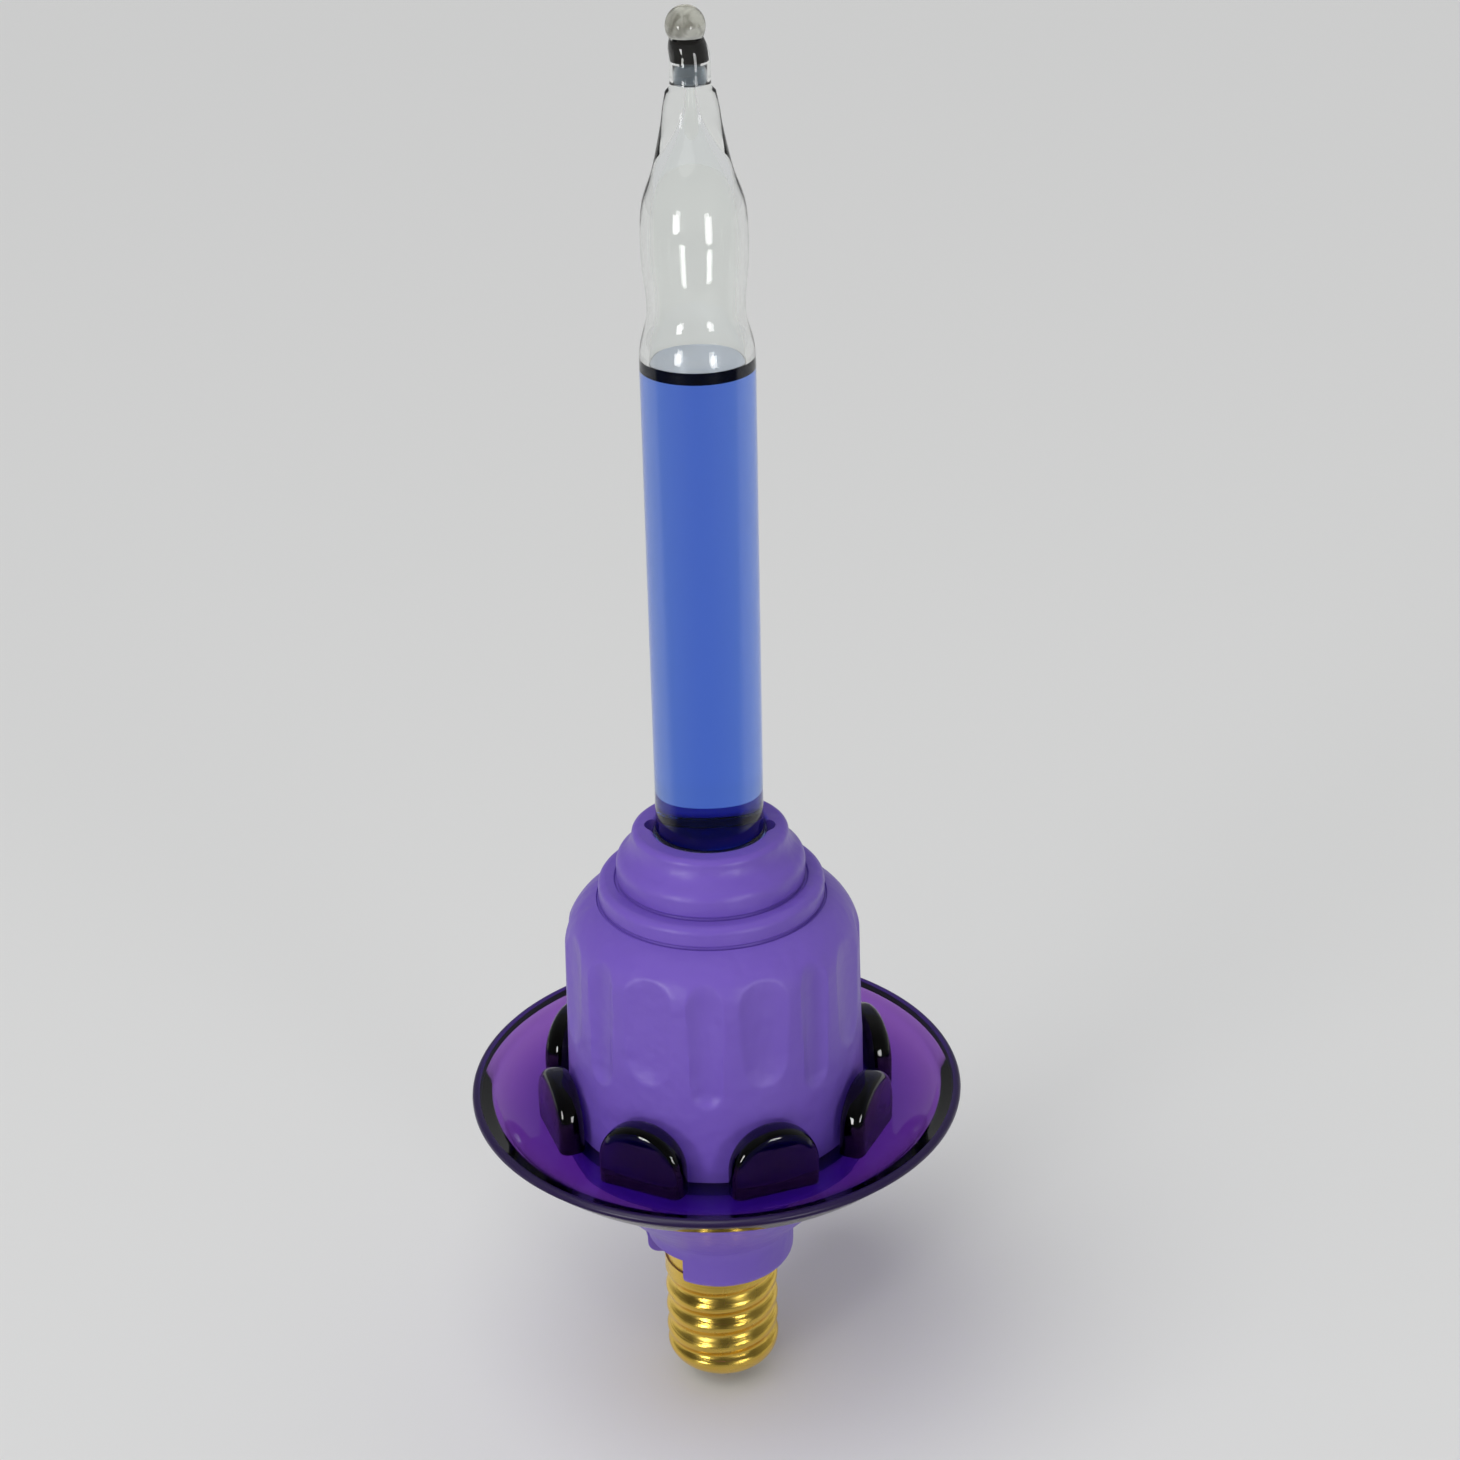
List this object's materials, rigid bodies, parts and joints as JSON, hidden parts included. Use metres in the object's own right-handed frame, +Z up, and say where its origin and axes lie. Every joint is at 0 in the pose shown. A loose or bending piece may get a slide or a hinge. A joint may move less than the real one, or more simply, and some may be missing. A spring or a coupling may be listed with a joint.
{
  "type": "bubble light bulb",
  "caption": "Bubble light bulb: clear glass vial of blue fluid on a violet dome and drip saucer, with a small brass screw base.",
  "frame": {"origin": "tip of the centre contact, at the lowest point of the light, on its axis", "axes": "+Z up the axis from the contact to the knob on the vial, -Y the front, between two saucer tabs"},
  "size_m": [0.0492, 0.0492, 0.1427],
  "materials": {
    "vial_glass": "clear blown glass",
    "blue_fluid": "clear blue fluid",
    "black_residue": "black residue",
    "neck_fluid": "pale blue fluid",
    "clear_glue": "clear adhesive",
    "satin_violet": "opaque satin violet",
    "clear_violet": "transparent glossy violet",
    "brass_shell": "rolled brass, lightly tarnished",
    "insulator": "dark glass insulator",
    "brass_contact": "bright",
    "solder": "solder",
    "cement": "basing cement",
    "lamp_glass": "clear lamp glass",
    "lead_wire": "nickel wire",
    "filament": "dark tungsten"
  },
  "bodies": {
    "root": {"glass_vial": "vial_glass", "vial_fluid": "blue_fluid", "neck_residue": "black_residue", "neck_fluid": "neck_fluid", "vial_glue": "clear_glue", "dome_cover": "satin_violet", "drip_saucer": "clear_violet", "lower_housing": "satin_violet", "screw_shell": "brass_shell", "base_insulator": "insulator", "contact_eyelet": "brass_contact", "contact_solder": "solder", "side_solder": "solder", "lamp_cement": "cement", "lamp_envelope": "lamp_glass", "lamp_stem": "lamp_glass", "lead_to_shell": "lead_wire", "lead_to_contact": "lead_wire", "lamp_filament": "filament", "filament_support": "lead_wire"}
  },
  "joints": []
}
